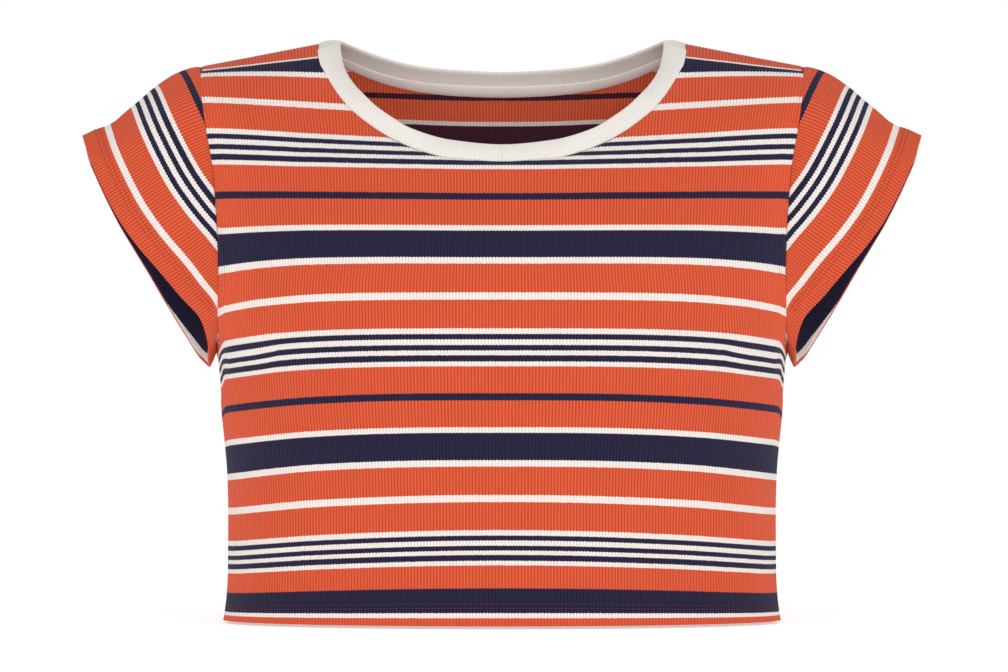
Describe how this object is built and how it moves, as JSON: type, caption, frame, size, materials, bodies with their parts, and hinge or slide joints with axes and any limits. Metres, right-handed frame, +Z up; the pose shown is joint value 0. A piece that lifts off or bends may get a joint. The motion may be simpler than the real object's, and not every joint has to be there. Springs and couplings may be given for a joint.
{
  "type": "crop top",
  "caption": "Cropped rib-knit tee with horizontal stripes, short cap sleeves, a contrast crew neckband and turned hems, in the filled-out shape it is worn in",
  "frame": {"origin": "midway between the two neck points of the shoulder seams, where a wearer's shoulders or a hanger hold the top", "axes": "+X to the right as seen from the front, across the shoulders; the front of the top faces -Y; +Z is up, from the hem to the shoulders"},
  "size_m": [0.4858, 0.1695, 0.3363],
  "materials": {
    "rib_knit_orange": "matt striped rib knit: rust orange, navy and off-white",
    "rib_knit_cream": "matt cream rib knit",
    "neck_tape_cream": "matt cream woven tape"
  },
  "bodies": {
    "root": {"front": "rib_knit_orange", "back": "rib_knit_orange", "sleeve_left": "rib_knit_orange", "sleeve_right": "rib_knit_orange", "neckband": "rib_knit_cream", "neck_tape": "neck_tape_cream"}
  },
  "joints": []
}
